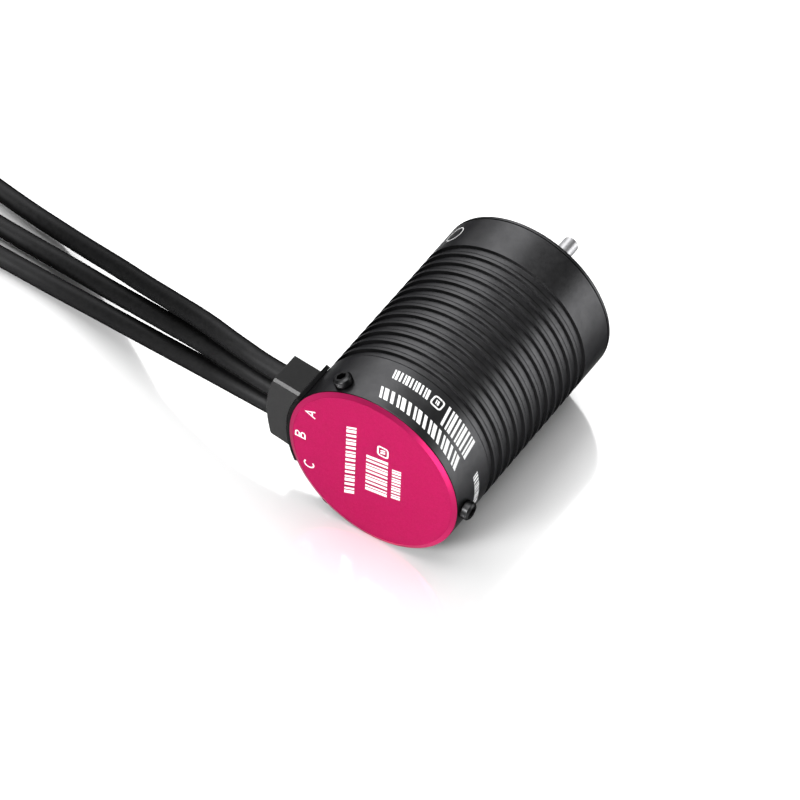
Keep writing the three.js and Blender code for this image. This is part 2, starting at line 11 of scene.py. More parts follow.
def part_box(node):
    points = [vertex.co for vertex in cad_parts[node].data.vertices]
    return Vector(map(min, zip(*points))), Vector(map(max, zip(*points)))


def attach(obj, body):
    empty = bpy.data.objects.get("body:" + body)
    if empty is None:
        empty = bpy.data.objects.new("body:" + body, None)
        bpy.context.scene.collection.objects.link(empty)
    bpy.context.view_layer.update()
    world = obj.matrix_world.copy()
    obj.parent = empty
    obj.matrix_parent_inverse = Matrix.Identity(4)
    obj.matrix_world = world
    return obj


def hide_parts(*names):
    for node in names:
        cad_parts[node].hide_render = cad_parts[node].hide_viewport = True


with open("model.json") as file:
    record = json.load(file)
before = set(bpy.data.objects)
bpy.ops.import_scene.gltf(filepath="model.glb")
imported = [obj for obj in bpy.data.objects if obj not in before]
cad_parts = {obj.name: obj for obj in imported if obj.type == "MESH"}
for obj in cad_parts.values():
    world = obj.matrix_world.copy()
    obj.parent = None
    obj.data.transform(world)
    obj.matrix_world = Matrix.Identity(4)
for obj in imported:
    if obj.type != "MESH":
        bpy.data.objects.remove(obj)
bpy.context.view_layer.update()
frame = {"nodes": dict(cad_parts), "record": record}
MM = 0.001

# ---- the motor's axis in the frame: distances along it are counted in mm from the cover's seam ----
SHAFT_TIP = 67.6
SHAFT_LOW, SHAFT_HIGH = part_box("shaft")
AXIS_X = (SHAFT_LOW.x + SHAFT_HIGH.x) / 2
AXIS_Z = (SHAFT_LOW.z + SHAFT_HIGH.z) / 2
ZERO_Y = SHAFT_HIGH.y - SHAFT_TIP * MM


def motor_point(x, y, z):
    """A point given in mm from the motor's axis and the cover's seam, in the frame's metres."""
    return Vector((AXIS_X + x * MM, ZERO_Y + y * MM, AXIS_Z + z * MM))


# ---- camera: a long lens from behind, right and above, turned a little ----
AZIMUTH = math.radians(31.0)
ELEVATION = math.radians(48.6)
ROLL = math.radians(2.61)
DISTANCE = 1.2023
LENS = 297.4
AIM_RIGHT, AIM_UP = -9.12, -3.86
BODY_MIDDLE = 26.0


def add_camera():
    back = Vector((
        math.sin(AZIMUTH) * math.cos(ELEVATION),
        -math.cos(AZIMUTH) * math.cos(ELEVATION),
        math.sin(ELEVATION),
    ))
    level = Vector((math.cos(AZIMUTH), math.sin(AZIMUTH), 0))
    upright = back.cross(level)
    aim = motor_point(0, BODY_MIDDLE, 0) + (level * AIM_RIGHT + upright * AIM_UP) * MM
    right = level * math.cos(ROLL) + upright * math.sin(ROLL)
    up = upright * math.cos(ROLL) - level * math.sin(ROLL)
    data = bpy.data.cameras.new("camera")
    data.sensor_width = 36
    data.lens = LENS
    data.clip_start = 0.01
    data.clip_end = 50
    camera = bpy.data.objects.new("camera", data)
    camera.matrix_world = Matrix.Translation(aim + back * DISTANCE) @ Matrix(
        (right, up, back)).transposed().to_4x4()
    bpy.context.scene.collection.objects.link(camera)
    bpy.context.scene.camera = camera


add_camera()
bpy.context.scene.view_settings.view_transform = "Standard"


# ---- material building ----
class Look:
    """A Principled material whose nodes are added by name, with the object's own coordinates in metres."""

    def __init__(self, name, color, roughness, metallic=0.0, **shader):
        self.material = bpy.data.materials.new(name)
        self.material.use_nodes = True
        self.nodes = self.material.node_tree.nodes
        self.links = self.material.node_tree.links
        self.shader = self.nodes["Principled BSDF"]
        self.shader.inputs["Base Color"].default_value = (*color, 1)
        self.shader.inputs["Roughness"].default_value = roughness
        self.shader.inputs["Metallic"].default_value = metallic
        for key, value in shader.items():
            self.shader.inputs[key.replace("_", " ")].default_value = value
        self.coordinates = self.nodes.new("ShaderNodeTexCoord").outputs["Object"]

    def add(self, kind, inputs=(), **settings):
        node = self.nodes.new(kind)
        for key, value in settings.items():
            setattr(node, key, value)
        for key, value in dict(inputs).items():
            if isinstance(value, bpy.types.NodeSocket):
                self.links.new(value, node.inputs[key])
            else:
                node.inputs[key].default_value = value
        return node

    def stretched(self, scale):
        mapping = self.add("ShaderNodeMapping", {"Vector": self.coordinates, "Scale": scale})
        return mapping.outputs["Vector"]

    def noise(self, scale, detail, rough=0.55, stretch=(1, 1, 1)):
        vector = self.coordinates if stretch == (1, 1, 1) else self.stretched(stretch)
        inputs = {"Vector": vector, "Scale": scale, "Detail": detail, "Roughness": rough}
        return self.add("ShaderNodeTexNoise", inputs).outputs["Fac"]

    def wave(self, period, distortion=0.0):
        """Bands across the shaft's direction, one per period in metres."""
        inputs = {
            "Vector": self.coordinates, "Scale": math.pi / (10 * period),
            "Distortion": distortion, "Detail": 2.0,
        }
        node = self.add("ShaderNodeTexWave", inputs, bands_direction="Y")
        return node.outputs["Fac"]

    def remap(self, value, low, high, from_low=0.3, from_high=0.7):
        inputs = {
            "Value": value, "From Min": from_low, "From Max": from_high, "To Min": low, "To Max": high,
        }
        return self.add("ShaderNodeMapRange", inputs).outputs["Result"]

    def mix(self, factor, first, second):
        node = self.add("ShaderNodeMix", data_type="RGBA")
        self.links.new(factor, node.inputs["Factor"])
        for socket, value in ((node.inputs["A"], first), (node.inputs["B"], second)):
            if isinstance(value, bpy.types.NodeSocket):
                self.links.new(value, socket)
            else:
                socket.default_value = (*value, 1)
        return node.outputs["Result"]

    def set(self, socket, value):
        self.links.new(value, self.shader.inputs[socket])

    def times(self, first, second):
        return self.add("ShaderNodeMath", {0: first, 1: second}, operation="MULTIPLY").outputs["Value"]

    def across_shaft(self):
        """1 on faces that look along the shaft and 0 on those that look away from it."""
        normal = self.add("ShaderNodeTexCoord").outputs["Normal"]
        along = self.add("ShaderNodeVectorMath", {0: normal, 1: (0, 1, 0)}, operation="DOT_PRODUCT")
        size = self.add("ShaderNodeMath", {0: along.outputs["Value"]}, operation="ABSOLUTE")
        return self.remap(size.outputs["Value"], 0, 1, 0.25, 0.6)

    def beyond_radius(self, radius):
        """1 farther than a radius in mm from the motor's axis and 0 nearer to it."""
        inputs = {0: self.coordinates, 1: motor_point(0, 0, 0)}
        place = self.add("ShaderNodeVectorMath", inputs, operation="SUBTRACT")
        inputs = {0: place.outputs["Vector"], 1: (1, 0, 1)}
        flat = self.add("ShaderNodeVectorMath", inputs, operation="MULTIPLY")
        length = self.add("ShaderNodeVectorMath", {0: flat.outputs["Vector"]}, operation="LENGTH")
        inputs = {0: length.outputs["Value"], 1: radius * MM}
        return self.add("ShaderNodeMath", inputs, operation="GREATER_THAN").outputs["Value"]

    def bump(self, *layers):
        """Each layer is (height, depth in metres), and they add up."""
        normal = None
        for height, depth in layers:
            inputs = {"Height": height, "Strength": 1.0, "Distance": depth}
            node = self.add("ShaderNodeBump", inputs)
            if normal:
                self.links.new(normal, node.inputs["Normal"])
            normal = node.outputs["Normal"]
        self.set("Normal", normal)


# ---- materials, one function each ----
def black_anodised():
    """A dark metal whose reflection fades towards its silhouette, with a near-black base colour on the
    grooves' sides as painted shade.
    """
    look = Look("black_anodised", (0.066, 0.066, 0.068), 0.33, 1.0, Specular_Tint=(0.3, 0.3, 0.3, 1))
    tone = look.mix(look.remap(look.noise(350, 4), 0, 1), (0.060, 0.060, 0.062), (0.072, 0.072, 0.074))
    # Faces near the surface that look along the shaft, the grooves' sides, get a near-black base colour:
    # painted shade for the shadow in the grooves.
    painted_wall_shade = look.times(look.across_shaft(), look.beyond_radius(17.2))
    look.set("Base Color", look.mix(painted_wall_shade, tone, (0.015, 0.015, 0.0155)))
    look.set("Roughness", look.remap(look.noise(900, 5), 0.30, 0.38))
    look.bump((look.noise(5200, 3, 0.6), 0.000012), (look.wave(0.00013), 0.000001))
    return look.material


def pink_anodised():
    """Fine blasted face, and a smoother bevel whose brighter base colour is a painted highlight."""
    look = Look("pink_anodised", (0.35, 0.009, 0.074), 0.42, 1.0, Specular_Tint=(0.75, 0.6, 0.65, 1))
    grain = look.remap(look.noise(3800, 3, 0.65), 0, 1)
    face = look.mix(grain, (0.32, 0.008, 0.066), (0.38, 0.011, 0.081))
    bevel = look.beyond_radius(17.02)
    # The bevel's brighter pink is a painted highlight; its lower roughness below is the bevel's own finish.
    look.set("Base Color", look.mix(bevel, face, (0.48, 0.019, 0.108)))
    blasted = look.remap(look.noise(1500, 4), 0.38, 0.48)
    look.set("Roughness", look.remap(bevel, blasted, 0.28, 0, 1))
    look.bump((look.noise(5200, 3, 0.6), 0.000014))
    return look.material


def dark_plastic():
    look = Look("dark_plastic", (0.015, 0.015, 0.0152), 0.19, Specular_IOR_Level=0.15)
    look.set("Base Color", look.mix(look.noise(600, 4), (0.013, 0.013, 0.0132), (0.017, 0.017, 0.0172)))
    look.set("Roughness", look.remap(look.noise(1800, 4), 0.17, 0.22))
    look.bump((look.noise(4200, 4, 0.6), 0.00001))
    return look.material


def saddle_painted_shade():
    """The saddle is coloured darker than the block that stands on it, a painted shade for the band between
    the block and the cover.
    """
    look = Look("saddle_painted_shade", (0.02, 0.02, 0.0203), 0.4, 1.0, Specular_Tint=(0.1, 0.1, 0.1, 1))
    look.set("Base Color", look.mix(look.noise(600, 4), (0.017, 0.017, 0.0173), (0.023, 0.023, 0.0233)))
    look.set("Roughness", look.remap(look.noise(1800, 4), 0.36, 0.44))
    look.bump((look.noise(4200, 4, 0.6), 0.00001))
    return look.material


def black_steel():
    look = Look("black_oxide_steel", (0.045, 0.045, 0.046), 0.34, 1.0, Specular_Tint=(0.3, 0.3, 0.3, 1))
    look.set("Base Color", look.mix(look.noise(1500, 4), (0.040, 0.040, 0.041), (0.050, 0.050, 0.051)))
    look.set("Roughness", look.remap(look.noise(2500, 4), 0.31, 0.37))
    look.bump((look.noise(5000, 3), 0.000002))
    return look.material


def polished_steel():
    look = Look("polished_steel", (0.42, 0.42, 0.43), 0.36, 1.0, Specular_Tint=(0.4, 0.4, 0.4, 1))
    look.set("Base Color", look.mix(look.noise(700, 3), (0.42, 0.42, 0.43), (0.50, 0.50, 0.51)))
    look.set("Roughness", look.remap(look.noise(900, 4, 0.6, (0.3, 6, 0.3)), 0.33, 0.42))
    look.bump((look.noise(1500, 3, 0.6, (0.3, 8, 0.3)), 0.0000015))
    return look.material


def silicone(name, roughness):
    look = Look(name, (0.033, 0.033, 0.0337), roughness, 1.0, Specular_Tint=(0.06, 0.06, 0.06, 1))
    look.set("Base Color", look.mix(look.noise(500, 4), (0.029, 0.029, 0.0297), (0.037, 0.037, 0.0377)))
    look.set("Roughness", look.remap(look.noise(1300, 4), roughness - 0.05, roughness + 0.08))
    look.bump((look.noise(300, 4, 0.5, (0.25, 1, 1)), 0.00002), (look.noise(5000, 2), 0.000004))
    return look.material


def gold_plating():
    look = Look("gold_plated_brass", (0.83, 0.56, 0.18), 0.2, 1.0)
    look.set("Base Color", look.mix(look.noise(900, 3), (0.78, 0.50, 0.15), (0.88, 0.62, 0.22)))
    look.set("Roughness", look.remap(look.noise(1500, 4), 0.14, 0.3))
    look.bump((look.noise(2200, 3, 0.5, (6, 0.4, 0.4)), 0.000003))
    return look.material


def white_ink():
    look = Look("white_ink", (0.9, 0.9, 0.9), 0.5)
    look.set("Base Color", look.mix(look.noise(4000, 3), (0.86, 0.86, 0.86), (0.94, 0.94, 0.94)))
    look.bump((look.noise(5200, 3), 0.000006))
    return look.material


def turned_metal(name, dark, light, rough_low, rough_high):
    look = Look(name, dark, rough_low, 1.0)
    look.set("Base Color", look.mix(look.noise(600, 4), dark, light))
    look.set("Roughness", look.remap(look.noise(1200, 4), rough_low, rough_high))
    look.bump((look.wave(0.0002, distortion=0.3), 0.000003))
    return look.material


def lamination_steel():
    look = Look("lamination_steel", (0.2, 0.2, 0.21), 0.45, 0.9)
    layers = look.wave(0.00035)
    look.set("Base Color", look.mix(layers, (0.06, 0.06, 0.065), (0.24, 0.25, 0.26)))
    look.set("Roughness", look.remap(look.noise(1500, 3), 0.4, 0.6))
    look.bump((layers, 0.00004))
    return look.material


def copper_winding():
    look = Look("copper_winding", (0.62, 0.22, 0.07), 0.25, 0.9)
    turns = look.wave(0.0006, distortion=0.4)
    look.set("Base Color", look.mix(turns, (0.35, 0.09, 0.02), (0.75, 0.30, 0.10)))
    look.set("Roughness", look.remap(look.noise(900, 3), 0.2, 0.35))
    look.bump((turns, 0.0001))
    return look.material


def plain_plastic(name, first, second, roughness):
    look = Look(name, first, roughness)
    look.set("Base Color", look.mix(look.noise(700, 4), first, second))
    look.set("Roughness", look.remap(look.noise(1500, 3), roughness - 0.06, roughness + 0.08))
    look.bump((look.noise(3500, 3), 0.00001))
    return look.material


def pale_floor():
    look = Look("pale_floor", (0.97, 0.97, 0.97), 0.12, 0.22, IOR=1.5)
    look.set("Base Color", look.mix(look.noise(3, 2), (0.96, 0.96, 0.96), (0.98, 0.98, 0.98)))
    return look.material


MATERIALS = {
    "black_anodised": black_anodised(),
    "pink_anodised": pink_anodised(),
    "dark_plastic": dark_plastic(),
    "saddle_painted_shade": saddle_painted_shade(),
    "black_oxide_steel": black_steel(),
    "polished_steel": polished_steel(),
    "silicone_wire": silicone("silicone_wire", 0.5),
    "shrink_sleeve": silicone("shrink_sleeve", 0.62),
    "gold_plated_brass": gold_plating(),
    "bright_aluminium": turned_metal("bright_aluminium", (0.42, 0.43, 0.45), (0.55, 0.56, 0.58), 0.3, 0.42),
    "brass": turned_metal("brass", (0.55, 0.38, 0.12), (0.66, 0.48, 0.18), 0.25, 0.4),
    "plated_magnet": turned_metal("plated_magnet", (0.40, 0.41, 0.42), (0.52, 0.53, 0.54), 0.22, 0.34),
    "lamination_steel": lamination_steel(),
    "copper_winding": copper_winding(),
    "insulator_plastic": plain_plastic("insulator_plastic", (0.03, 0.10, 0.06), (0.04, 0.13, 0.08), 0.55),
    "carbon_sleeve": plain_plastic("carbon_sleeve", (0.015, 0.015, 0.016), (0.03, 0.03, 0.032), 0.4),
}
SLOT_OF = {part["node"]: part["material_slot"] for part in frame["record"]["subparts"]}
BODY_OF = {node: body for body, nodes in frame["record"]["behaviour"]["bodies"].items() for node in nodes}


# ---- mesh building ----
SHARP_ANGLE = math.radians(14)


def finish_mesh(mesh):
    """Outward faces, smooth shading, and sharp edges above the sharp angle."""
    work = bmesh.new()
    work.from_mesh(mesh)
    bmesh.ops.remove_doubles(work, verts=work.verts, dist=1e-8)
    bmesh.ops.recalc_face_normals(work, faces=work.faces)
    work.to_mesh(mesh)
    work.free()
    mesh.polygons.foreach_set("use_smooth", [True] * len(mesh.polygons))
    mesh.set_sharp_from_angle(angle=SHARP_ANGLE)


def stand_for(node, piece, finish=None):
    """The piece takes a CAD node's place, body and finish, and its flat faces are shaded flat."""
    if piece.type == "MESH":
        shading = piece.modifiers.new("flat_faces", "WEIGHTED_NORMAL")
        shading.keep_sharp = True
    piece.data.materials.clear()
    piece.data.materials.append(MATERIALS[finish or SLOT_OF[node]])
    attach(piece, BODY_OF[node])
    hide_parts(node)
    return piece


def new_object(name, data):
    piece = bpy.data.objects.new(name, data)
    bpy.context.scene.collection.objects.link(piece)
    return piece


def soften(points, steps=4):
    """Rounds a closed or open outline's corners. Each point is (a, b) or (a, b, corner radius)."""
    outline = []
    count = len(points)
    for i, point in enumerate(points):
        corner = Vector(point[:2])
        radius = point[2] if len(point) > 2 else 0
        before = Vector(points[i - 1][:2]) - corner
        after = Vector(points[(i + 1) % count][:2]) - corner
        if not radius or before.length < 1e-9 or after.length < 1e-9:
            outline.append(corner)
            continue
        turn = before.angle(after)
        reach = min(radius / math.tan(turn / 2), before.length * 0.49, after.length * 0.49)
        start = corner + before.normalized() * reach
        end = corner + after.normalized() * reach
        for k in range(steps + 1):
            t = k / steps
            outline.append(start * (1 - t) ** 2 + corner * 2 * t * (1 - t) + end * t ** 2)
    return outline


def lathe_mesh(name, profile, segments, place, closed, steps):
    """A closed solid of revolution from (radius, distance) points in mm.

    place(radius, distance, angle) gives the point in the frame.
    """
    outline = soften(profile, steps)
    mesh = bpy.data.meshes.new(name)
    verts, faces = [], []
    rings = []
    for radius, distance in outline:
        if radius < 1e-6:
            rings.append([len(verts)] * segments)
            verts.append(place(0, distance, 0))
            continue
        rings.append(list(range(len(verts), len(verts) + segments)))
        verts.extend(place(radius, distance, 2 * math.pi * k / segments) for k in range(segments))
    pairs = list(zip(rings, rings[1:]))
    if closed:
        pairs.append((rings[-1], rings[0]))
    for low, high in pairs:
        for k in range(segments):
            n = (k + 1) % segments
            face = list(dict.fromkeys((low[k], low[n], high[n], high[k])))
            if len(face) > 2:
                faces.append(face)
    mesh.from_pydata(verts, [], faces)
    return mesh


def about_motor(radius, distance, angle):
    return motor_point(radius * math.cos(angle), distance, radius * math.sin(angle))


def on_axis(profile):
    return profile[0][0] < 1e-6 and profile[-1][0] < 1e-6


def turned(name, profile, segments, place=about_motor, steps=4):
    mesh = lathe_mesh(name, profile, segments, place, not on_axis(profile), steps)
    finish_mesh(mesh)
    return new_object(name, mesh)


def cut(piece, tools, operation="DIFFERENCE"):
    """Booleans the tools into the piece, then removes them. Its other modifiers are applied first."""
    for tool in tools:
        modifier = piece.modifiers.new("boolean", "BOOLEAN")
        modifier.operation = operation
        modifier.solver = "EXACT"
        modifier.object = tool
    bpy.context.view_layer.update()
    shape = bpy.data.meshes.new_from_object(piece.evaluated_get(bpy.context.evaluated_depsgraph_get()))
    piece.modifiers.clear()
    piece.data = shape
    for tool in tools:
        bpy.data.objects.remove(tool)
    finish_mesh(piece.data)


def radial(angle, y):
    """A frame for pieces on a line out from the motor's axis: place(r, d, a) with d along that line."""
    turn = math.radians(angle)
    outward = Vector((math.cos(turn), 0, math.sin(turn)))
    across = Vector((-math.sin(turn), 0, math.cos(turn)))
    centre = motor_point(0, y, 0)

    def place(radius, distance, around):
        side = across * math.cos(around) + Vector((0, 1, 0)) * math.sin(around)
        return centre + (outward * distance + side * radius) * MM

    return place


def prism(name, outline, low, high, place):
    """An outline in (a, b) made solid between two levels; place(a, b, level) gives the frame point."""
    mesh = bpy.data.meshes.new(name)
    count = len(outline)
    verts = [place(a, b, level) for level in (low, high) for a, b in outline]
    faces = [list(range(count)), list(range(count, 2 * count))]
    faces += [[k, (k + 1) % count, count + (k + 1) % count, count + k] for k in range(count)]
    mesh.from_pydata(verts, [], faces)
    finish_mesh(mesh)
    return new_object(name, mesh)


def arc(radius, start, end, steps):
    """Points on an arc about the axis, angles in degrees."""
    turns = [math.radians(start + (end - start) * k / steps) for k in range(steps + 1)]
    return [(radius * math.cos(t), radius * math.sin(t)) for t in turns]


def across_motor(x, z, y):
    return motor_point(x, y, z)


# ---- the phase leads: radius, routes and length in metres in the frame, plugs in mm ----
LEAD_RADIUS = 0.0019
LEAD_ROUTES = {
    "a": [
        (-0.0067, -0.0271, 0.0228), (-0.0157, -0.0271, 0.0228), (-0.0237, -0.0270, 0.0228),
        (-0.0317, -0.0258, 0.0226), (-0.0407, -0.0233, 0.0212), (-0.0497, -0.0202, 0.0181),
        (-0.0587, -0.0167, 0.0143), (-0.0677, -0.0129, 0.0103), (-0.0767, -0.0094, 0.0065),
        (-0.0857, -0.0064, 0.0036), (-0.0947, -0.0043, 0.0022), (-0.1037, -0.0027, 0.0020),
        (-0.1127, -0.0012, 0.0020), (-0.1217, 0.0002, 0.0021), (-0.1307, 0.0013, 0.0026),
        (-0.1387, 0.0017, 0.0031), (-0.1457, 0.0017, 0.0031), (-0.1532, 0.0017, 0.0031),
    ],
    "b": [
        (-0.0067, -0.0271, 0.0180), (-0.0157, -0.0271, 0.0180), (-0.0237, -0.0270, 0.0180),
        (-0.0317, -0.0261, 0.0178), (-0.0407, -0.0241, 0.0163), (-0.0497, -0.0217, 0.0137),
        (-0.0587, -0.0189, 0.0105), (-0.0677, -0.0161, 0.0072), (-0.0767, -0.0135, 0.0044),
        (-0.0857, -0.0117, 0.0026), (-0.0947, -0.0107, 0.0020), (-0.1037, -0.0100, 0.0020),
        (-0.1127, -0.0094, 0.0020), (-0.1217, -0.0087, 0.0021), (-0.1307, -0.0083, 0.0026),
        (-0.1387, -0.0081, 0.0031), (-0.1457, -0.0081, 0.0031), (-0.1532, -0.0081, 0.0031),
    ],
    "c": [
        (-0.0067, -0.0271, 0.0132), (-0.0157, -0.0271, 0.0132), (-0.0237, -0.0271, 0.0132),
        (-0.0317, -0.0267, 0.0130), (-0.0407, -0.0254, 0.0116), (-0.0497, -0.0237, 0.0096),
        (-0.0587, -0.0217, 0.0072), (-0.0677, -0.0197, 0.0048), (-0.0767, -0.0181, 0.0029),
        (-0.0857, -0.0172, 0.0021), (-0.0947, -0.0168, 0.0020), (-0.1037, -0.0166, 0.0020),
        (-0.1127, -0.0165, 0.0020), (-0.1217, -0.0164, 0.0021), (-0.1307, -0.0163, 0.0026),
        (-0.1387, -0.0163, 0.0031), (-0.1457, -0.0163, 0.0031), (-0.1532, -0.0163, 0.0031),
    ],
}
PLUG_CUP_DEPTH = 6.0
PLUG_LENGTH = 18.6
PLUG_NECK = 7.6


def add_lead(phase, route):
    data = bpy.data.curves.new(f"lead_{phase}", "CURVE")
    data.dimensions = "3D"
    data.resolution_u = 14
    data.bevel_depth = LEAD_RADIUS
    data.bevel_resolution = 9
    data.use_fill_caps = True
    spline = data.splines.new("BEZIER")
    spline.bezier_points.add(len(route) - 1)
    for knot, point in zip(spline.bezier_points, route):
        knot.co = point
        knot.handle_left_type = knot.handle_right_type = "AUTO"
    return stand_for(f"phase_lead_{phase}", new_object(f"lead_{phase}", data))


def along_lead(end):
    """A frame for pieces on a lead's end, with distances in mm out from the mouth of the plug's cup."""
    mouth = Vector(end) + Vector(((PLUG_CUP_DEPTH - 0.5) * MM, 0, 0))

    def place(radius, distance, angle):
        return mouth + Vector((-distance, radius * math.cos(angle), radius * math.sin(angle))) * MM

    return place


def add_heat_shrink(phase, place):
    profile = [
        (2.0, -6.0), (2.32, -6.0, 0.12), (2.36, -3.4, 0.6), (2.44, -1.7, 0.9), (2.92, -0.35, 0.7),
        (2.98, 1.2, 0.5), (2.88, 2.4, 0.5), (2.98, 4.0, 0.5), (2.95, 6.9, 0.12), (2.58, 6.9),
        (2.58, -0.1), (2.0, -0.9),
    ]
    return stand_for(f"heat_shrink_{phase}", turned(f"shrink_{phase}", profile, 64, place, 5))


def add_plug(phase, place):
    neck = PLUG_NECK
    profile = [
        (0, PLUG_CUP_DEPTH), (2.1, PLUG_CUP_DEPTH), (2.1, 0, 0.1), (2.5, 0, 0.1), (2.5, neck - 0.5, 0.15),
        (1.6, neck, 0.1), (1.6, neck + 0.7, 0.1), (1.82, neck + 1.0, 0.2), (2.05, neck + 5.5, 4.0),
        (1.8, neck + 9.8, 0.3), (1.2, PLUG_LENGTH, 0.15), (0, PLUG_LENGTH),
    ]
    plug = turned(f"plug_{phase}", profile, 96, place, 6)
    slots = []
    for k in range(3):
        turn = math.pi * k / 3
        side = (-math.sin(turn), math.cos(turn))

        def slot_point(a, b, level, turn=turn, side=side):
            y = math.cos(turn) * b + side[0] * level
            z = math.sin(turn) * b + side[1] * level
            return place(0, a, 0) + Vector((0, y, z)) * MM

        for sign in (-1, 1):
            outline = [
                (neck + 1.7, sign * 1.35), (neck + 9.0, sign * 1.35), (neck + 9.0, sign * 3.0),
                (neck + 1.7, sign * 3.0),
            ]
            slots.append(prism(f"slot_{k}", outline, -0.17, 0.17, slot_point))
    cut(plug, slots)
    return stand_for(f"bullet_plug_{phase}", plug)


for phase, route in LEAD_ROUTES.items():
    lead = add_lead(phase, route)
    ending = along_lead(route[-1])
    shrink = add_heat_shrink(phase, ending)
    plug = add_plug(phase, ending)


# ---- can: finned tube with its slot and screw holes ----
CAN_RADIUS, CAN_BORE = 18.0, 16.2
CAN_REAR, CAN_FRONT = 0.1, 51.1
GROOVE_COUNT, GROOVE_START, GROOVE_PITCH, GROOVE_WIDTH, GROOVE_DEPTH = 13, 10.65, 2.563, 1.82, 0.5
SCREW_ANGLES = (117, 237, 357)
SCREW_Y = 2.45


def add_can():
    profile = [(CAN_BORE, CAN_REAR), (CAN_RADIUS, CAN_REAR, 0.15)]
    bottom = CAN_RADIUS - GROOVE_DEPTH
    for k in range(GROOVE_COUNT):
        start = GROOVE_START + k * GROOVE_PITCH
        end = start + GROOVE_WIDTH
        profile += [
            (CAN_RADIUS, start - 0.12, 0.04), (CAN_RADIUS - 0.08, start + 0.12, 0.03),
            (bottom, start + 0.16, 0.06), (bottom, end - 0.25, 0.12), (CAN_RADIUS, end, 0.03),
        ]
    profile += [(CAN_RADIUS, CAN_FRONT, 0.06), (CAN_BORE, CAN_FRONT)]
    can = turned("can_shell", profile, 192, steps=3)
    slot_outline = arc(20, 154, 206, 24) + arc(15, 206, 154, 24)
    tools = [prism("slot", slot_outline, CAN_REAR - 1, 9.8, across_motor)]
    for angle in SCREW_ANGLES:
        place = radial(angle, SCREW_Y)
        tools.append(turned("hole", [(0, 15), (1.3, 15), (1.3, 20), (0, 20)], 32, place))
    cut(can, tools)
    return stand_for("can", can)


add_can()


# ---- rear cover ----
def add_cover():
    profile = [(0, -0.49), (17.0, -0.49, 0.05), (17.97, -0.06, 0.06), (17.97, -0.02, 0.01), (0, -0.02)]
    return stand_for("rear_cover", turned("cover_disc", profile, 192, steps=3))


add_cover()


# ---- front end plate: chamfered rim, bearing seat, four tapped holes ----
FACE_HOLE_ANGLES = (45, 135, 225, 315)
FACE_HOLE_CIRCLE = 12.5


def add_front_plate():
    profile = [
        (3.6, 52.0, 0.15), (3.6, 50.83), (4.9, 50.83), (4.9, 46.6, 0.1), (6.4, 46.6, 0.1), (6.4, 48.6),
        (14.0, 48.6),
        (14.0, 46.6), (15.9, 46.6, 0.2), (15.9, 51.3), (18.0, 51.3, 0.05), (18.0, 52.0, 0.65),
        (17.2, 52.0),
    ]
    plate = turned("front_plate", profile, 192, steps=3)
    tools = []
    for angle in FACE_HOLE_ANGLES:
        turn = math.radians(angle)
        centre = (FACE_HOLE_CIRCLE * math.cos(turn), FACE_HOLE_CIRCLE * math.sin(turn))

        def place(radius, distance, around, centre=centre):
            return motor_point(
                centre[0] + radius * math.cos(around), distance, centre[1] + radius * math.sin(around))

        hole = [(0, 46), (1.25, 46)]
        for k in range(9):
            start = 48.6 + 0.36 * k
            hole += [(1.25, start), (1.42, start + 0.18)]
        hole += [(1.25, 51.75), (1.6, 52.1), (1.6, 53), (0, 53)]
        tools.append(turned("tapping", hole, 40, place, 1))
    cut(plate, tools)
    return stand_for("front_end_plate", plate)


add_front_plate()


# ---- shaft ----
def add_shaft():
    radius = 1.5875
    profile = [
        (0, 1.5), (radius - 0.35, 1.5, 0.05), (radius, 1.85, 0.1), (radius, SHAFT_TIP - 0.4, 0.12),
        (radius - 0.38, SHAFT_TIP, 0.08), (0, SHAFT_TIP),
    ]
    return stand_for("shaft", turned("shaft_rod", profile, 96, steps=4))


add_shaft()


# ---- radial screws: low round heads with a hexagon socket ----
def add_screw(number, angle):
    place = radial(angle, SCREW_Y)
    profile = [
        (0, 13.0), (0.95, 13.0, 0.1), (1.15, 13.3), (1.15, 18.12), (1.8, 18.12, 0.06), (1.8, 19.3, 0.3),
        (1.4, 19.68, 0.2), (0, 19.68),
    ]
    screw = turned(f"screw_{number}", profile, 72, place, 5)
    flats = [(math.cos(k * math.pi / 3), math.sin(k * math.pi / 3)) for k in range(6)]

    def socket_point(a, b, level):
        return place(math.hypot(a, b), level, math.atan2(b, a))

    cut(screw, [prism("socket", flats, 17.0, 20.5, socket_point)])
    return stand_for(f"radial_screw_{number}", screw)


for number, angle in enumerate(SCREW_ANGLES, 1):
    add_screw(number, angle)


# ---- wire block ----
def soften_edges(piece, width):
    """Rounds every edge that turns more than 25 degrees, over a width in mm."""
    rounding = piece.modifiers.new("softening", "BEVEL")
    rounding.width = width * MM
    rounding.segments = 3
    rounding.limit_method = "ANGLE"
    rounding.angle_limit = math.radians(25)
    cut(piece, [])


def chamfer(piece, width, chosen):
    """Cuts edges flat over a width in mm, where chosen(first end, second end) is true."""
    work = bmesh.new()
    work.from_mesh(piece.data)
    edges = [edge for edge in work.edges if chosen(*(vert.co for vert in edge.verts))]
    bmesh.ops.bevel(work, geom=edges, offset=width * MM, segments=1, affect="EDGES")
    work.to_mesh(piece.data)
    work.free()
    finish_mesh(piece.data)


def lead_holes(reach):
    holes = []
    for z in (-4.8, 0, 4.8):
        place = radial(180, 6.5)
        centre = Vector((0, 0, z * MM))
        mouth = math.sqrt(reach ** 2 - z ** 2)
        profile = [(0, 12), (2.05, 12), (2.05, mouth - 0.3), (2.5, mouth + 0.2), (2.5, 27), (0, 27)]
        holes.append(turned("hole", profile, 48, lambda r, d, a, c=centre, p=place: p(r, d, a) + c))
    return holes


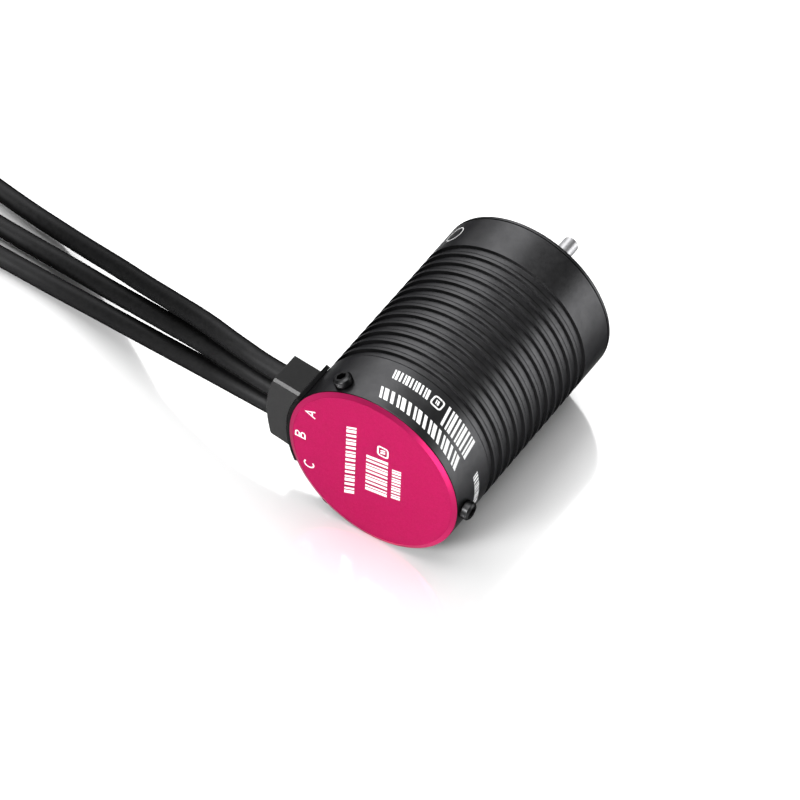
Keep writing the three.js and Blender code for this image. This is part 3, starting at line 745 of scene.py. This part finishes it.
def add_wire_block():
    """The block is set on a thin saddle, and the saddle's neck fills the can's slot."""
    reach, seat, rear, front = 24.4, 18.9, 2.1, 9.1
    outline = arc(reach, 160.9, 196.4, 24) + [(-22.9, -7.43)] + arc(seat + 0.01, 207.4, 157.2, 16)
    block = prism("wire_block_shell", outline, rear, front, across_motor)
    rear_level = motor_point(0, rear + 0.1, 0).y
    chamfer(block, 0.55, lambda a, b: (a - b).length > 4 * MM and max(a.y, b.y) < rear_level)
    soften_edges(block, 0.06)
    cut(block, lead_holes(reach))
    saddle_outline = arc(seat, 153.2, 206.8, 32) + arc(18.03, 206.8, 153.2, 32)
    saddle = prism("wire_block_saddle", saddle_outline, 0.15, 10.2, across_motor)
    soften_edges(saddle, 0.12)
    neck_outline = arc(18.3, 154.7, 205.3, 28) + arc(16.4, 205.3, 154.7, 28)
    cut(saddle, [prism("neck", neck_outline, 1.0, 9.5, across_motor)], "UNION")
    cut(saddle, lead_holes(reach))
    stand_for("wire_block", block)
    # The saddle's darker material than the block's is a painted shade.
    stand_for("wire_block", saddle, "saddle_painted_shade")


add_wire_block()


# ---- printed marks ----
BAR_SHARES = (0.72, 0.42, 0.56)


def slanted_bars(count, start, end, low, high, slant):
    """Parallelograms in a row from start to end, each filling a share of its pitch."""
    pitch = (end - start - slant) / (count - 1 + BAR_SHARES[(count - 1) % len(BAR_SHARES)])
    shapes = []
    for k in range(count):
        a = start + k * pitch
        b = a + pitch * BAR_SHARES[k % len(BAR_SHARES)]
        shapes.append([(a, low), (b, low), (b + slant, high), (a + slant, high)])
    return shapes


def stroke(points, width, closed=False):
    """A line of even width along the points, as four-sided pieces."""
    line = [Vector(point) for point in points]
    sides = []
    for i, point in enumerate(line):
        arriving = point - line[i - 1]
        leaving = line[(i + 1) % len(line)] - point
        if not closed and i == 0:
            arriving = leaving
        if not closed and i == len(line) - 1:
            leaving = arriving
        along = (arriving.normalized() + leaving.normalized()).normalized()
        side = along.orthogonal() * width / 2 / max(0.5, along.dot(arriving.normalized()))
        sides.append((point + side, point - side))
    if closed:
        sides.append(sides[0])
    return [(near[0], far[0], far[1], near[1]) for near, far in zip(sides, sides[1:])]


def rounded_frame(a, b, width, height, corner, line):
    """The outline of a rectangle with round corners, centred on (a, b)."""
    reach = (width / 2, height / 2)
    signs = ((-1, -1), (1, -1), (1, 1), (-1, 1))
    box = [(a + sa * reach[0], b + sb * reach[1], corner) for sa, sb in signs]
    return stroke(soften(box), line, True)


def circle(a, b, radius, line):
    turns = [2 * math.pi * k / 36 for k in range(36)]
    return stroke([(a + radius * math.cos(t), b + radius * math.sin(t)) for t in turns], line, True)


def bow(right, top, bottom, reach):
    """A half ellipse bulging to the right between two heights."""
    middle, half = (top + bottom) / 2, (top - bottom) / 2
    turns = [math.pi * (0.5 - k / 8) for k in range(9)]
    return [(right + reach * math.cos(t), middle + half * math.sin(t)) for t in turns]


def letter_lines(letter):
    """A terminal letter's pen lines, 2 mm high and centred on zero."""
    if letter == "A":
        return [[(-0.85, -1), (0, 1), (0.85, -1)], [(-0.36, -0.35), (0.36, -0.35)]]
    if letter == "B":
        upper = [(-0.53, 1), *bow(0.1, 1, 0.22, 0.45), (-0.53, 0.22)]
        lower = [(-0.53, -0.16), *bow(0.15, -0.16, -1, 0.5), (-0.53, -1)]
        return [upper, lower, [(-0.7, -1.17), (-0.7, 1.17)]]
    turns = [math.radians(50 + 260 * k / 18) for k in range(19)]
    return [[(0.85 * math.cos(t), math.sin(t)) for t in turns]]


LETTER_LINE = 0.29


def terminal_letter(letter, a, b):
    """The letter's top points towards smaller b."""
    shapes = []
    for line in letter_lines(letter):
        shapes += stroke([(a + u, b - v) for u, v in line], LETTER_LINE)
    return shapes


def flat_marks(name, shapes, place, depth, fineness):
    """Thin closed plates for the shapes, cut fine enough to follow a curved surface."""
    work = bmesh.new()
    for shape in shapes:
        reach = [point[0] for point in shape]
        steps = max(1, math.ceil(max(reach) - min(reach)) * fineness)
        (a0, b0), (a1, b1), (a2, b2), (a3, b3) = shape
        columns = []
        for k in range(steps + 1):
            t = k / steps
            low = (a0 + (a1 - a0) * t, b0 + (b1 - b0) * t)
            high = (a3 + (a2 - a3) * t, b3 + (b2 - b3) * t)
            columns.append([
                work.verts.new(place(*low, 0)), work.verts.new(place(*high, 0)),
                work.verts.new(place(*high, depth)), work.verts.new(place(*low, depth)),
            ])
        for left, right in zip(columns, columns[1:]):
            for i in range(4):
                n = (i + 1) % 4
                work.faces.new((left[i], left[n], right[n], right[i]))
        work.faces.new(columns[0])
        work.faces.new(columns[-1])
    mesh = bpy.data.meshes.new(name)
    work.to_mesh(mesh)
    work.free()
    finish_mesh(mesh)
    mesh.materials.append(INK)
    piece = new_object(name, mesh)
    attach(piece, "stator")
    return piece


INK = white_ink()


def cover_point(a, b, lift):
    """a is along the cover's upright lines of marks, b across them, both in mm."""
    return motor_point(b, -0.475 - lift, a)


def can_point(a, b, lift):
    """a is arc length round the can from its right-hand side, b along the shaft, both in mm."""
    turn = a / CAN_RADIUS
    radius = CAN_RADIUS - 0.01 + lift
    return motor_point(radius * math.cos(turn), b, radius * math.sin(turn))


flat_marks(
    "cover_marks",
    slanted_bars(17, -9.25, 9.75, -5.6, -3.5, 0.9)
    + slanted_bars(10, -5.45, 4.75, -1.2, 3.4, 0.7)
    + rounded_frame(6.85, 2.2, 2.3, 2.1, 0.6, 0.34)
    + slanted_bars(2, 6.2, 7.5, 1.7, 2.7, 0.3)
    + slanted_bars(11, -4.25, 3.95, 4.3, 6.2, 0.4)
    + terminal_letter("A", 7.4, -13.3)
    + terminal_letter("B", 0.45, -15.35)
    + terminal_letter("C", -6.4, -13.3),
    cover_point, 0.02, 1,
)
ARC = math.radians(1) * CAN_RADIUS
flat_marks(
    "can_marks",
    slanted_bars(17, 28 * ARC, 95 * ARC, 1.8, 4.3, 1.1)
    + slanted_bars(9, 28 * ARC, 57 * ARC, 5.1, 9.2, 0.8)
    + rounded_frame(63.4 * ARC, 7.95, 2.2, 2.0, 0.6, 0.32)
    + slanted_bars(2, 62 * ARC, 65 * ARC, 7.5, 8.4, 0.2)
    + slanted_bars(11, 69 * ARC, 95 * ARC, 6.9, 9.0, 0.5)
    + slanted_bars(11, -12 * ARC, 14 * ARC, 5.7, 7.2, 0.3)
    + circle(138 * ARC, 47.4, 1.9, 0.16),
    can_point, 0.02, 2,
)


# ---- CAD nodes that stay get their slot's material ----
for node, piece in frame["nodes"].items():
    for slot in piece.material_slots:
        slot.material = MATERIALS[SLOT_OF[node]]


# ---- stage: floor, sky and lights ----
FLOOR_REACH = 6.0


def add_floor():
    mesh = bpy.data.meshes.new("floor")
    signs = ((-1, -1), (1, -1), (1, 1), (-1, 1))
    corners = [(x * FLOOR_REACH, y * FLOOR_REACH) for x, y in signs]
    mesh.from_pydata([(x, y, 0) for x, y in corners], [], [(0, 1, 2, 3)])
    mesh.materials.append(pale_floor())
    new_object("floor", mesh)


def add_light(name, direction, distance, width, height, power):
    data = bpy.data.lights.new(name, "AREA")
    data.shape = "RECTANGLE"
    data.size = width
    data.size_y = height
    data.energy = power
    light = bpy.data.objects.new(name, data)
    where = Vector(direction).normalized()
    target = motor_point(0, BODY_MIDDLE, 0)
    light.location = target + where * distance
    light.rotation_euler = (-where).to_track_quat("-Z", "Y").to_euler()
    bpy.context.scene.collection.objects.link(light)


def add_sky(strength):
    world = bpy.data.worlds.new("sky")
    world.use_nodes = True
    background = world.node_tree.nodes["Background"]
    background.inputs["Color"].default_value = (1, 1, 1, 1)
    background.inputs["Strength"].default_value = strength
    bpy.context.scene.world = world


add_floor()
add_sky(0.15)
add_light("overhead", (0, 0, 1), 1.5, 1.3, 1.3, 19)
add_light("left_softbox", (-0.53, 0.567, 0.63), 1.5, 1.1, 0.9, 7.8)
add_light("left_fill", (-0.82, 0.567, 0.17), 1.5, 0.5, 0.45, 1.0)
add_light("right_softbox", (0.81, 0.567, 0.18), 1.5, 0.9, 0.62, 5.2)
add_light("front_key", (-0.16, -0.79, 0.59), 2.0, 0.6, 0.6, 30)
add_light("low_front_strip", (0.22, -0.92, 0.30), 1.5, 0.4, 0.6, 7)
